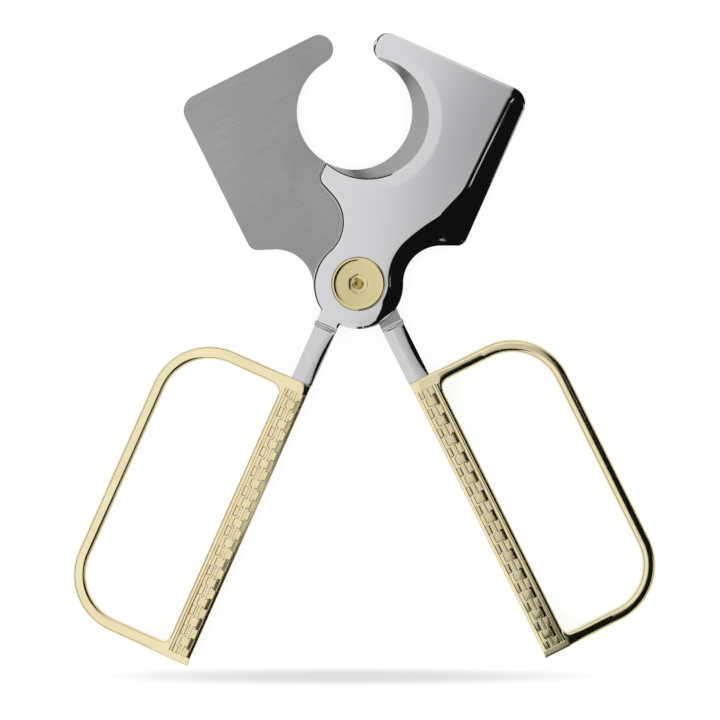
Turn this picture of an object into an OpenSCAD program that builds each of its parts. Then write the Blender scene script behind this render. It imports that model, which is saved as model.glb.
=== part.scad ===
// Scissor cutter with a round notch between two blades and looped handles.
// It lies flat: +Z is the pivot axis, the blades point to +Y and the table is z = 0.
// Each half is drawn closed, about the pivot and the plane where the blades meet,
// and is then swung open. The rear half is the front half turned over.

/* [Blades] */
// Width of a blade across its wing
blade_w = 38.6; // [34:0.1:47]
// Thickness of a blade under the pivot's head
blade_t = 2.6; // [2.1:0.1:3.2]
// Depth of the round seat for the pivot's head, below the crown
spot_d = 0.12; // [0.1:0.01:0.2]
// Radius of the crown rolled across a blade's outer face
crown_r = 260; // [210:10:400]
// Radius of the round hub about the pivot
hub_r = 10.76; // [8.9:0.02:13]
// Radius of the hollow between the hub and the wing
neck_fillet_r = 9.05; // [7.5:0.05:11]
// Direction of that hollow's centre from the pivot, above the X axis, in degrees
neck_angle = 24.3; // [22:0.1:27]
// Slope of the wing's lower edges, in degrees
shoulder_slope = 24; // [18:0.5:28]
// Radius of the wing's two lower corners
shoulder_r = 2.5; // [2:0.1:3]
// Radius of the wing's free top corner
top_corner_r = 4; // [2:0.1:7]
// Opening between the two halves as drawn, in degrees
rest_opening = 50.5; // [45:0.5:56]

/* [Cutting notch] */
// Radius of the round notch
notch_r = 13.8; // [11.5:0.1:16.6]
// Distance from the pivot to the notch's centre
notch_reach = 41.15; // [38:0.05:46]
// Width of the tip beyond the notch
tip_w = 6.9; // [5.5:0.1:8.5]
// How far the tip stands out past the wing's side
tip_overhang = 0.75; // [0:0.05:1.5]
// Radius of the ground bevel where it meets the outer face
bevel_r = 14.6; // [14:0.1:15.2]
// How far the bevel's circle is shifted into the blade
bevel_shift = 3.45; // [2.5:0.05:4]
// Height of the cutting edge's flat land
edge_land = 0.25; // [0.15:0.05:0.4]

/* [Shanks] */
// Width of a shank
shank_w = 5.35; // [4.5:0.05:6.4]
// Thickness of a shank
shank_t = 4.8; // [4:0.1:5]
// Width of the chamfers along a shank
shank_chamfer = 1; // [0.5:0.1:1.3]
// Length of a shank between its collar and its handle
shank_l = 13.5; // [11:0.1:16.5]
// Length of a shank's collar
collar_l = 1.3; // [1:0.1:1.8]
// How far the collar stands out past the shank on each free side
collar_step = 0.35; // [0.2:0.05:0.5]
// Length of the tang inside the handle
tang_l = 14; // [11:0.5:17]
// Width of the tang
tang_w = 3.3; // [2.7:0.1:3.6]
// Thickness of the tang
tang_t = 3.2; // [2.6:0.1:3.4]
// Radius of the pin through the tang
pin_r = 1; // [0.8:0.05:1.2]

/* [Handles] */
// Length of a handle
handle_l = 73.1; // [60:0.1:88]
// Width of a handle's bar
bar_w = 6.45; // [5.8:0.05:7.8]
// Reach of the finger loop past the bar
loop_w = 28.4; // [23:0.1:34.2]
// Width of the loop's rod
rod_w = 3.05; // [2.5:0.05:3.7]
// Depth of the loop's rod
rod_t = 4; // [3.8:0.1:4.8]
// Outer radius of the loop's corners
loop_corner_r = 14.6; // [12:0.1:17.6]
// How far the bar's lower corner flares towards the other bar
flare = 0.2; // [0.1:0.05:0.3]

/* [Weave panels] */
// Width of the rail beside a weave panel, on the inner side
rail_w = 0.75; // [0.6:0.05:1]
// Width of the bar beside a weave panel, on the loop side
shoulder_w = 1.65; // [1.3:0.05:2]
// Plain length of the bar above a weave panel
block_top_l = 2.8; // [2.2:0.1:3.4]
// Plain length of the bar below a weave panel
block_end_l = 1.8; // [1.5:0.1:2.4]
// Depth of a weave panel's channel
channel_d = 0.8; // [0.6:0.05:0.9]
// Length of one repeat of the weave
weave_pitch = 5.16; // [4.3:0.01:6.2]
// Thickness of the strip under the weave's blocks
strip_base_t = 0.35; // [0.3:0.05:0.4]
// Height of the weave's blocks
weave_rise = 0.3; // [0.2:0.05:0.3]

/* [Pivot] */
// Radius of the screw's head and of the nut's head
head_r = 6.5; // [5.4:0.05:7.8]
// Height of both heads
head_h = 0.8; // [0.65:0.05:1]
// Radius of the nut's barrel, which the rear blade turns on
barrel_r = 3.47; // [2.9:0.01:4.2]
// Radius of the screw's thread
thread_r = 2; // [1.7:0.05:2.2]
// Width of the hexagon socket across its flats
hex_af = 4.2; // [3.5:0.1:4.6]
// Depth of the hexagon socket
hex_depth = 1.4; // [1.1:0.1:1.6]
// Radius of the blind drilling below the hexagon socket
drill_r = 1.4; // [1.1:0.05:1.6]
// Width of the washers' rings
washer_ring = 1.1; // [0.9:0.05:1.3]
// Thickness of the washers
washer_t = 0.45; // [0.3:0.05:0.6]

/* [Clearances] */
// Gap between the two blades' mating faces
blade_gap = 0.04; // [0.02:0.01:0.08]
// Radial clearance of the barrel in the blades' bores
bore_fit = 0.03; // [0.02:0.01:0.06]
// Gap left between each half and the plane where the closed halves meet
parting = 0.12; // [0.1:0.01:0.2]
// Clearance of the tang in its socket, of a strip in its channel and of washers
seat_fit = 0.05; // [0.03:0.01:0.1]
// Gap between the nut's head and the rear blade that turns beside it
nut_gap = 0.03; // [0.02:0.01:0.05]
// Space between one half's hub and the other half's collar
hub_clear = 1.24; // [1:0.02:1.6]

/* [Hidden] */

steel = "silver";
satin = "darkgray";
gold = "khaki";
dark_gold = "goldenrod";
fine = 96;      // facets of a large circle
small = 48;     // facets of a small circle
crown_facets = 720; // facets of the crown's very large circle
eps = 0.01;     // overlap of a cutting shape past a face

// Heights, from the plane where the blades meet
blade_z = blade_gap / 2;
face_z = blade_z + blade_t;
half_t = face_z + head_h;

// The wing's outline
wing_x = blade_w / 2;
notch_x = -notch_reach * sin(rest_opening / 2);
notch_y = notch_reach * cos(rest_opening / 2);
blade_top = notch_y + notch_r + tip_w;
tip_r = tip_w / 2;
tip_x = -(wing_x + tip_overhang - tip_r);
neck_bite = 0.02; // how far the hollow cuts into the hub, so that the two arcs cross
fillet_x = (hub_r + neck_fillet_r - neck_bite) * cos(neck_angle);
fillet_y = (hub_r + neck_fillet_r - neck_bite) * sin(neck_angle);
neck_top_x = fillet_x - neck_fillet_r * sin(shoulder_slope);
neck_top_y = fillet_y + neck_fillet_r * cos(shoulder_slope);
neck_foot_x = hub_r * cos(neck_angle);
neck_foot_y = hub_r * sin(neck_angle);
corner_x = wing_x - shoulder_r;
corner_y = neck_top_y + (corner_x - neck_top_x) * tan(shoulder_slope)
  + shoulder_r / cos(shoulder_slope);

// The shank, from its inner side at x = -parting outwards to -X
collar_y = -(hub_r + hub_clear);
shank_y = collar_y - collar_l;
handle_y = shank_y - shank_l;
collar_w = shank_w + collar_step;
collar_t = 2 * (face_z + collar_step);
stub_flare = 0.3; // how much wider the stub is at the hub than at the collar
tang_root = 1;    // how far the tang's block reaches back into the shank
socket_w = tang_w + 2 * seat_fit;
socket_t = tang_t + 2 * seat_fit;
tang_x = -(parting + bar_w / 2);
tang_y = handle_y - tang_l;
pin_y = handle_y - tang_l / 2;

// The handle
bar_x = parting + flare;
bar_outer_x = bar_x + bar_w;
bar_edge = 0.5;   // size of the chamfer along the bar's outer edges
flare_l = 1.2;    // length of the bar's flared corner
handle_end = handle_y - handle_l;
loop_x = bar_outer_x + loop_w;
rod_bend_r = loop_corner_r - rod_w / 2;
bend_x = loop_x - loop_corner_r;
channel_x = bar_x + rail_w;
channel_w = bar_w - rail_w - shoulder_w;
channel_top = handle_y - block_top_l;
channel_l = handle_l - block_top_l - block_end_l;
channel_z = half_t - channel_d;

// The weave: rows of one wide block, and between them a rib with a small block each side
strip_w = channel_w - 2 * seat_fit;
strip_l = channel_l - 2 * seat_fit;
weave_rows = floor(strip_l / weave_pitch);
wide_w = 0.7 * strip_w;
side_w = 0.3 * strip_w;
wide_l = 0.42 * weave_pitch;
side_l = 0.48 * weave_pitch;
groove_w = 0.3;   // space between the rib and the small blocks beside it
rib_w = strip_w - 2 * side_w - 2 * groove_w;

// The pivot
bore_r = barrel_r + bore_fit;
washer_r = barrel_r + washer_ring;
seat_d = washer_t + seat_fit;
socket_floor = 0.4; // metal between the hexagon socket and the end of the screw's boss
boss_l = hex_depth + socket_floor - head_h;
barrel_top = face_z - boss_l - seat_fit;
thread_stop = 0.6;  // height of the screw's end above the nut's head
thread_l = 2 * face_z - boss_l - thread_stop;
rim_w = 0.55;       // width of a head's bevelled rim
rim_drop = 0.35;    // height of that bevel
dish_d = 0.3;       // depth of the dish in the screw's head
hex_turn = 30;      // turns the hexagon so that a corner points along +Y

// Carries a shape from the closed front half to its place in the open cutter
module in_front_half() {
  translate([0, 0, half_t])
    rotate([0, 0, -rest_opening / 2])
      children();
}

// The same for the rear half, which is the front half turned over
module in_rear_half() {
  translate([0, 0, half_t])
    rotate([0, 0, rest_opening / 2])
      rotate([0, 180, 0])
        children();
}

// The wing above the shoulders, up to its rounded corners
module wing_outline() {
  run_x = corner_x + shoulder_r * sin(shoulder_slope);
  run_y = corner_y - shoulder_r * cos(shoulder_slope);
  polygon([
    [neck_top_x, neck_top_y], [run_x, run_y],
    [wing_x, corner_y], [wing_x, blade_top - top_corner_r],
    [wing_x - top_corner_r, blade_top], [tip_x, blade_top],
    [tip_x, notch_y], [-wing_x, notch_y],
    [-wing_x, corner_y], [-run_x, run_y], [-neck_top_x, neck_top_y]
  ]);
  translate([wing_x - top_corner_r, blade_top - top_corner_r]) circle(r = top_corner_r, $fn = fine);
  translate([tip_x, blade_top - tip_r]) circle(r = tip_r, $fn = fine);
  for (side = [-1, 1])
    translate([side * corner_x, corner_y]) circle(r = shoulder_r, $fn = fine);
}

// The neck between the hub and the wing, before its hollows are cut
module neck_outline() {
  polygon([
    [neck_foot_x, neck_foot_y], [fillet_x, fillet_y], [neck_top_x, neck_top_y],
    [0, neck_top_y + neck_fillet_r],
    [-neck_top_x, neck_top_y], [-fillet_x, fillet_y], [-neck_foot_x, neck_foot_y], [0, 0]
  ]);
}

// The stub below the hub that the shank is joined to
module stub_outline() {
  polygon([
    [-parting, collar_y], [-parting, -hub_r / 2],
    [-(parting + shank_w + stub_flare), -hub_r / 2], [-(parting + shank_w), collar_y]
  ]);
}

// The blank, before the hollows beside the neck and the notch are cut
module blank_outline() {
  circle(r = hub_r, $fn = fine);
  wing_outline();
  neck_outline();
  stub_outline();
}

// The bevel ground beside the notch: a cone shifted into the blade, so that the bevel is a
// crescent, widest on the side away from the tip, where it leaves the edge's flat land
module bevel_cone() {
  land_z = blade_z + edge_land;
  land_r = notch_r - bevel_shift;
  slope = (bevel_r - land_r) / (face_z - land_z);
  rise = 2 * blade_t;
  translate([notch_x + bevel_shift, notch_y, land_z - blade_t])
    cylinder(r1 = land_r - slope * blade_t, r2 = land_r + slope * (rise - blade_t), h = rise, $fn = fine);
}

// The crown's arc, from its top at the origin down past the mating face
module crown_section() {
  intersection() {
    translate([0, -crown_r]) circle(r = crown_r, $fn = crown_facets);
    translate([-blade_w, -2 * blade_t]) square([2 * blade_w, 3 * blade_t]);
  }
}

// A blade, with its flat mating face down and its crowned outer face up
module blade() {
  difference() {
    intersection() {
      translate([0, 0, blade_z]) linear_extrude(2 * blade_t) blank_outline();
      translate([0, 0, face_z + spot_d]) rotate([90, 0, 0])
        linear_extrude(4 * blade_top, center = true) crown_section();
    }
    for (side = [-1, 1])
      translate([side * fillet_x, fillet_y]) cylinder(r = neck_fillet_r, h = 3 * blade_t, $fn = fine);
    translate([notch_x, notch_y]) cylinder(r = notch_r, h = 3 * blade_t, $fn = fine);
    bevel_cone();
    cylinder(r = bore_r, h = 3 * blade_t, $fn = small);
    translate([0, 0, face_z])
      cylinder(r = head_r + seat_fit, h = blade_t, $fn = fine);
    translate([0, 0, face_z - seat_d])
      cylinder(r = washer_r + seat_fit, h = blade_t, $fn = small);
  }
}

// Cross-section of the shank, chamfered along its four edges
module shank_section() {
  w = shank_w / 2;
  t = shank_t / 2;
  c = shank_chamfer;
  polygon([
    [-w + c, -t], [w - c, -t], [w, -t + c], [w, t - c],
    [w - c, t], [-w + c, t], [-w, t - c], [-w, -t + c]
  ]);
}

// A shank: a collar that meets the blade, the shank, and a tang for the handle
module shank() {
  difference() {
    union() {
      translate([-(parting + collar_w), shank_y, -collar_t / 2])
        cube([collar_w, collar_l, collar_t]);
      translate([-(parting + shank_w / 2), shank_y + eps, 0]) rotate([90, 0, 0])
        linear_extrude(shank_l + eps) shank_section();
      translate([tang_x - tang_w / 2, tang_y, -tang_t / 2])
        cube([tang_w, tang_l + tang_root, tang_t]);
    }
    translate([tang_x, pin_y, -half_t])
      cylinder(r = pin_r + bore_fit, h = 2 * half_t, $fn = small);
  }
}

// The pin that holds the tang, hidden under the weave strips
module tang_pin() {
  translate([tang_x, pin_y, -channel_z]) cylinder(r = pin_r, h = 2 * channel_z, $fn = small);
}

// The bar's outline, with its lower inner corner flared
module bar_outline() {
  polygon([
    [-parting, handle_end], [-bar_x, handle_end + flare_l], [-bar_x, handle_y],
    [-bar_outer_x, handle_y], [-bar_outer_x, handle_end]
  ]);
}

// The handle's bar, with a socket for the tang and a channel for each weave strip
module handle_bar() {
  difference() {
    translate([0, 0, -half_t]) linear_extrude(2 * half_t) bar_outline();
    for (face = [-1, 1]) {
      translate([-bar_outer_x, handle_y, face * half_t]) rotate([90, 45, 0])
        cube([bar_edge, bar_edge, 3 * handle_l], center = true);
      translate([-(channel_x + channel_w / 2), channel_top - channel_l / 2, face * half_t])
        cube([channel_w, channel_l, 2 * channel_d], center = true);
    }
    translate([tang_x - socket_w / 2, tang_y - seat_fit, -socket_t / 2])
      cube([socket_w, tang_l + tang_root, socket_t]);
    translate([tang_x, pin_y, -half_t])
      cylinder(r = pin_r + bore_fit, h = 2 * half_t, $fn = small);
  }
}

// Cross-section of the loop's rod, with round inner and outer sides
module rod_section() {
  for (end = [-1, 1])
    translate([0, end * (rod_t - rod_w) / 2]) circle(r = rod_w / 2, $fn = small);
  square([rod_w, rod_t - rod_w], center = true);
}

// The finger loop's rod: three straight runs joined by two quarter bends
module handle_bow() {
  straight_l = bend_x - bar_outer_x;
  side_l = handle_l - 2 * loop_corner_r;
  for (run_y = [handle_y - rod_w / 2, handle_end + rod_w / 2])
    translate([-bend_x, run_y, 0]) rotate([90, 0, 90])
      linear_extrude(straight_l) rod_section();
  translate([-(loop_x - rod_w / 2), handle_end + loop_corner_r + side_l, 0]) rotate([90, 0, 0])
    linear_extrude(side_l) rod_section();
  translate([-bend_x, handle_y - loop_corner_r, 0]) rotate([0, 0, 90])
    rotate_extrude(angle = 90, $fn = fine) translate([rod_bend_r, 0]) rod_section();
  translate([-bend_x, handle_end + loop_corner_r, 0]) rotate([0, 0, 180])
    rotate_extrude(angle = 90, $fn = fine) translate([rod_bend_r, 0]) rod_section();
}

// A block of the weave, centred at x and y on the strip's base
module weave_block(x, y, w, l) {
  translate([x - w / 2, y - l / 2, strip_base_t - eps]) cube([w, l, weave_rise + eps]);
}

// The raised parts of the weave: a rib down its middle, crossed by wide blocks, with a
// small block each side of the rib between them and past the last ones
module weave_blocks() {
  weave_block(0, -strip_l / 2, rib_w, strip_l);
  for (row = [0 : weave_rows]) {
    y = -strip_l / 2 + (row - weave_rows / 2) * weave_pitch;
    for (side = [-1, 1])
      weave_block(side * (strip_w - side_w) / 2, y, side_w, side_l);
    if (row < weave_rows)
      weave_block(0, y + weave_pitch / 2, wide_w, wide_l);
  }
}

// A woven strip in the front channel
module weave_strip() {
  translate([-(channel_x + channel_w / 2), channel_top - seat_fit, channel_z]) {
    translate([-strip_w / 2, -strip_l, 0]) cube([strip_w, strip_l, strip_base_t]);
    intersection() {
      weave_blocks();
      translate([-strip_w / 2, -strip_l, 0]) cube([strip_w, strip_l, channel_d]);
    }
  }
}

// Half the profile of a head with a bevelled rim, sunk inside the rim by a dish's depth
module head_profile(dish) {
  polygon([
    [0, 0], [head_r, 0], [head_r, head_h - rim_drop], [head_r - rim_w, head_h],
    [head_r - rim_w - dish / 2, head_h - dish / 2], [0, head_h - dish]
  ]);
}

// The screw: head, boss and thread, with a hexagon socket
module screw() {
  translate([0, 0, face_z])
    difference() {
      union() {
        rotate_extrude($fn = fine) head_profile(dish_d);
        translate([0, 0, -boss_l]) cylinder(r = barrel_r, h = boss_l + eps, $fn = small);
        translate([0, 0, -boss_l - thread_l]) cylinder(r = thread_r, h = thread_l + eps, $fn = small);
      }
      translate([0, 0, head_h - hex_depth])
        rotate([0, 0, rest_opening / 2 + hex_turn])
          cylinder(d = hex_af / cos(30), h = hex_depth, $fn = 6);
      translate([0, 0, head_h - hex_depth - drill_r])
        cylinder(r1 = 0, r2 = drill_r, h = drill_r + eps, $fn = small);
    }
}

// A ring that lies in a blade's counterbore
module washer() {
  difference() {
    cylinder(r = washer_r, h = washer_t, $fn = small);
    translate([0, 0, -eps]) cylinder(r = barrel_r + seat_fit, h = washer_t + 2 * eps, $fn = small);
  }
}

// The nut: a flat head behind the rear blade and a barrel through both bores
module barrel_nut() {
  difference() {
    union() {
      translate([0, 0, -face_z - head_h])
        cylinder(r1 = head_r - rim_w, r2 = head_r, h = rim_drop, $fn = fine);
      translate([0, 0, -face_z - head_h + rim_drop])
        cylinder(r = head_r, h = head_h - rim_drop - nut_gap, $fn = fine);
      translate([0, 0, -face_z - nut_gap - eps])
        cylinder(r = barrel_r, h = face_z + nut_gap + barrel_top + eps, $fn = small);
    }
    translate([0, 0, -face_z]) cylinder(r = thread_r + bore_fit, h = 2 * half_t, $fn = small);
  }
}

module front_blade() { color(steel) in_front_half() blade(); }
module front_shank() { color(steel) in_front_half() shank(); }
module left_tang_pin() { color(satin) in_front_half() tang_pin(); }
module left_handle_bar() { color(gold) in_front_half() handle_bar(); }
module left_handle_bow() { color(gold) in_front_half() handle_bow(); }
module left_weave_front() { color(dark_gold) in_front_half() weave_strip(); }
module left_weave_back() { color(dark_gold) in_front_half() mirror([0, 0, 1]) weave_strip(); }

module pivot_screw() { color(gold) in_front_half() screw(); }
module pivot_barrel_nut() { color(gold) in_front_half() barrel_nut(); }
module pivot_spring_washer() {
  color(satin) in_front_half() translate([0, 0, face_z - washer_t]) washer();
}
module pivot_thrust_washer() {
  color(dark_gold) in_front_half() translate([0, 0, -face_z - nut_gap]) washer();
}

module rear_blade() { color(satin) in_rear_half() blade(); }
module rear_shank() { color(steel) in_rear_half() shank(); }
module right_tang_pin() { color(satin) in_rear_half() tang_pin(); }
module right_handle_bar() { color(gold) in_rear_half() handle_bar(); }
module right_handle_bow() { color(gold) in_rear_half() handle_bow(); }
module right_weave_back() { color(dark_gold) in_rear_half() weave_strip(); }
module right_weave_front() { color(dark_gold) in_rear_half() mirror([0, 0, 1]) weave_strip(); }

front_blade();
front_shank();
left_tang_pin();
left_handle_bar();
left_handle_bow();
left_weave_front();
left_weave_back();
pivot_screw();
pivot_spring_washer();
pivot_thrust_washer();
pivot_barrel_nut();
rear_blade();
rear_shank();
right_tang_pin();
right_handle_bar();
right_handle_bow();
right_weave_front();
right_weave_back();
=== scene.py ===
import math

import bpy
import bmesh
import numpy as np
from mathutils import Matrix, Vector
from mathutils.geometry import delaunay_2d_cdt


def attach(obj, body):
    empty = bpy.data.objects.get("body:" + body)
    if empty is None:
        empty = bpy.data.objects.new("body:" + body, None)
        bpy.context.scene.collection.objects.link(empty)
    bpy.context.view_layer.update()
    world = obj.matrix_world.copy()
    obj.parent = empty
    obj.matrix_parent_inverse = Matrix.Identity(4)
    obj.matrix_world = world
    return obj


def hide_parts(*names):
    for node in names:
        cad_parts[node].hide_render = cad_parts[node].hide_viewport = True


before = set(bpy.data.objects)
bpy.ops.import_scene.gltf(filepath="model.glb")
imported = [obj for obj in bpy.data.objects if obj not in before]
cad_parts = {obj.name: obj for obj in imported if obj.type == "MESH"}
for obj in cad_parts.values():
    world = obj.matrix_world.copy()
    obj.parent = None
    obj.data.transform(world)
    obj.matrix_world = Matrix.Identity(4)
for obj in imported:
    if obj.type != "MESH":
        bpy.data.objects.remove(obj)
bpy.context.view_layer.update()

MM = 0.001
RIGHT = math.pi / 2

# Sizes from part.scad, in millimetres, in the closed half's own frame
REST = math.radians(50.5)
HALF_T = 3.42
BLADE_Z, FACE_Z, SPOT_D, CROWN_R = 0.02, 2.62, 0.12, 260.0
PARTING = 0.12
HUB_R = 10.76
NECK_A, SHOULDER_A = math.radians(24.3), math.radians(24.0)
FILLET_R, NECK_BITE = 9.05, 0.02
FILLET_X = (HUB_R + FILLET_R - NECK_BITE) * math.cos(NECK_A)
FILLET_Y = (HUB_R + FILLET_R - NECK_BITE) * math.sin(NECK_A)
NECK_X = FILLET_X - FILLET_R * math.sin(SHOULDER_A)
NECK_Y = FILLET_Y + FILLET_R * math.cos(SHOULDER_A)
WING_X, SHOULDER_R, TOP_R, TIP_R, TIP_OVER, TIP_RUN = 19.3, 2.5, 4.0, 3.45, 0.75, 8
CORNER_X = WING_X - SHOULDER_R
CORNER_Y = NECK_Y + (CORNER_X - NECK_X) * math.tan(SHOULDER_A) + SHOULDER_R / math.cos(SHOULDER_A)
NOTCH_R, NOTCH_REACH = 13.8, 41.15
NOTCH_X, NOTCH_Y = -NOTCH_REACH * math.sin(REST / 2), NOTCH_REACH * math.cos(REST / 2)
TOP_Y = NOTCH_Y + NOTCH_R + 2 * TIP_R
TIP_X, TIP_Y = -(WING_X + TIP_OVER - TIP_R), TOP_Y - TIP_R
BEVEL_R, BEVEL_SHIFT, LAND = 14.6, 3.45, 0.25
BEVEL_X = NOTCH_X + BEVEL_SHIFT
BORE_R, SINK_R, SINK_D, SEAT_R = 3.5, 4.62, 0.5, 6.55
STUB_W, COLLAR_Y = 5.35, -12.0
SHANK_Y, SHANK_W, SHANK_T = -13.3, 5.35, 4.8
HANDLE_Y, HANDLE_END = -26.8, -99.9
BAR_X, BAR_W, BAR_OUT, FLARE, FLARE_L = 0.32, 6.45, 6.77, 0.2, 1.2
CHANNEL_IN, CHANNEL_OUT, CHANNEL_TOP, CHANNEL_END = 1.07, 5.12, -29.6, -98.1
CHANNEL_Z = 2.62
ROD_W, ROD_T, BEND_X, BEND_R, BEND_RUN = 3.05, 4.0, 20.57, 13.075, 14.6
BEND_TOP, BEND_END = HANDLE_Y - BEND_RUN, HANDLE_END + BEND_RUN
STRIP_FIT, WEAVE_PITCH, STRIP_BASE, WEAVE_RISE = 0.05, 5.16, 0.35, 0.3
HEAD_R, HEAD_H, BARREL_R, THREAD_R = 6.5, 0.8, 3.47, 2.0
HEX_AF, HEX_DEPTH, DRILL_R = 4.2, 1.4, 1.4
TANG_W, TANG_L, TANG_T, TANG_ROOT = 3.3, 14.0, 3.2, 1.0
CHUNK = 1500   # points measured at a time

FRONT = Matrix.Translation((0, 0, HALF_T)) @ Matrix.Rotation(-REST / 2, 4, "Z")
REAR = (Matrix.Translation((0, 0, HALF_T)) @ Matrix.Rotation(REST / 2, 4, "Z")
        @ Matrix.Rotation(math.pi, 4, "Y"))


# ---------------------------------------------------------------- mesh tools

class Shell:
    """Faces gathered in millimetres, in the closed half's own frame."""

    def __init__(self):
        self.points, self.faces, self.slots = [], [], []

    def add(self, points, faces, slot=0):
        start = len(self.points)
        self.points += [tuple(float(c) for c in p) for p in points]
        self.faces += [tuple(start + i for i in f) for f in faces]
        self.slots += [slot] * len(faces)

    def strip(self, low, high, slot=0, closed=False):
        """Quads between two rows of points of equal length."""
        n = len(low)
        pairs = range(n if closed else n - 1)
        faces = [(i, (i + 1) % n, n + (i + 1) % n, n + i) for i in pairs]
        self.add(list(low) + list(high), faces, slot)

    def grid(self, rows, slot=0, closed=False):
        """Quads between each row of points and the next."""
        for low, high in zip(rows[:-1], rows[1:]):
            self.strip(low, high, slot, closed)

    def cap(self, ring, slot=0):
        """One face over a closed ring of points."""
        self.add(ring, [tuple(range(len(ring)))], slot)


WELD, THINNEST = 4e-4, 1e-5


def build(name, shell, place, materials, replaces, body, sharp=28.0, normals=None):
    """Makes one piece of a shell, welds it, and rides it on its body."""
    mesh = bpy.data.meshes.new(name)
    mesh.from_pydata(shell.points, [], shell.faces)
    mesh.polygons.foreach_set("material_index", shell.slots)
    bm = bmesh.new()
    bm.from_mesh(mesh)
    bmesh.ops.delete(bm, geom=[v for v in bm.verts if not v.link_faces], context="VERTS")
    bmesh.ops.remove_doubles(bm, verts=bm.verts, dist=WELD)
    bmesh.ops.dissolve_degenerate(bm, edges=bm.edges, dist=THINNEST)
    bmesh.ops.recalc_face_normals(bm, faces=bm.faces)
    bm.to_mesh(mesh)
    bm.free()
    for m in materials:
        mesh.materials.append(m)
    mesh.shade_smooth()
    mesh.set_sharp_from_angle(angle=math.radians(sharp))
    if normals is not None:
        set_normals(mesh, normals)
    mesh.transform(Matrix.Scale(MM, 4) @ place)
    piece = bpy.data.objects.new(name, mesh)
    bpy.context.scene.collection.objects.link(piece)
    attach(piece, body)
    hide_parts(*replaces)
    return piece


def set_normals(mesh, normals, facing_up=0.3):
    """Gives the upward faces of slot 0 the normals of the surface they follow."""
    loops = np.zeros(len(mesh.loops), int)
    mesh.loops.foreach_get("vertex_index", loops)
    co = np.zeros(len(mesh.vertices) * 3)
    mesh.vertices.foreach_get("co", co)
    co = co.reshape(-1, 3)
    flat = np.zeros(len(mesh.loops) * 3, np.float32)
    mesh.corner_normals.foreach_get("vector", flat)
    own = flat.reshape(-1, 3).astype(float)
    top = np.zeros(len(mesh.loops), bool)
    for poly in mesh.polygons:
        if poly.material_index == 0 and poly.normal.z > facing_up:
            top[list(poly.loop_indices)] = True
    used = np.unique(loops[top])
    table = np.zeros((len(mesh.vertices), 3))
    table[used] = normals(co[used, :2])
    own[top] = table[loops[top]]
    mesh.normals_split_custom_set([tuple(v) for v in own])


def arc(cx, cy, r, start, end, step=0.35):
    """Points along an arc, no more than about a step apart."""
    n = max(3, int(abs(end - start) * r / step) + 1)
    a = np.linspace(start, end, n)
    return np.stack([cx + r * np.cos(a), cy + r * np.sin(a)], 1)


def line(a, b, step=0.45):
    """Points along a straight line, no more than about a step apart."""
    n = max(2, int(math.dist(a, b) / step) + 1)
    return np.linspace(np.array(a, float), np.array(b, float), n)


def inside(points, loop):
    """Which points lie inside a closed loop."""
    x, y = points[:, 0][:, None], points[:, 1][:, None]
    x0, y0 = loop[:, 0][None], loop[:, 1][None]
    x1, y1 = np.roll(loop[:, 0], -1)[None], np.roll(loop[:, 1], -1)[None]
    spans = (y0 > y) != (y1 > y)
    with np.errstate(divide="ignore", invalid="ignore"):
        cross = x < (x1 - x0) * (y - y0) / (y1 - y0) + x0
    return (spans & cross).sum(1) % 2 == 1


def gap_to(points, loop):
    """Distance from points to a closed loop."""
    best = np.full(len(points), 1e9)
    a, b = loop, np.roll(loop, -1, 0)
    ab = b - a
    len2 = np.maximum((ab ** 2).sum(1), 1e-12)
    for k in range(0, len(points), CHUNK):
        q = points[k:k + CHUNK][:, None]
        t = np.clip(((q - a) * ab).sum(-1) / len2, 0, 1)
        best[k:k + CHUNK] = np.sqrt(((q - a - t[..., None] * ab) ** 2).sum(-1)).min(1)
    return best


def fill(loops, extra):
    """Triangles inside the first loop and outside the others."""
    points = np.concatenate(list(loops) + [extra])
    edges, start = [], 0
    for loop in loops:
        n = len(loop)
        edges += [(start + i, start + (i + 1) % n) for i in range(n)]
        start += n
    co, _, tris, *_ = delaunay_2d_cdt([Vector(p) for p in points], edges, [], 0, 1e-6)
    co = np.array([tuple(v) for v in co])
    mid = np.array([co[list(t)].mean(0) for t in tris])
    keep = inside(mid, loops[0])
    for loop in loops[1:]:
        keep &= ~inside(mid, loop)
    return co, [tuple(t) for t, k in zip(tris, keep) if k]


# ---------------------------------------------------------------- blades

# where the outline's rounding changes: angles round the hub, a height and an angle at the top
HUB_FOOT, HUB_THIN, HUB_LOW, HUB_FULL, HUB_JOIN = (
    math.radians(a) for a in (-90.64, -62, -38, -5, 238.66))
WING_MID, TOP_TURN, FINE_STEP = 36, 0.8, 0.12


def rim(side, points, start, end):
    """Points of the outline with their edge rounding (width, two slopes) and side."""
    t = np.linspace(0, 1, len(points))[:, None]
    edge = (1 - t) * np.array(start) + t * np.array(end)
    return np.concatenate([points, edge, np.full((len(points), 1), side)], 1)


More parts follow.
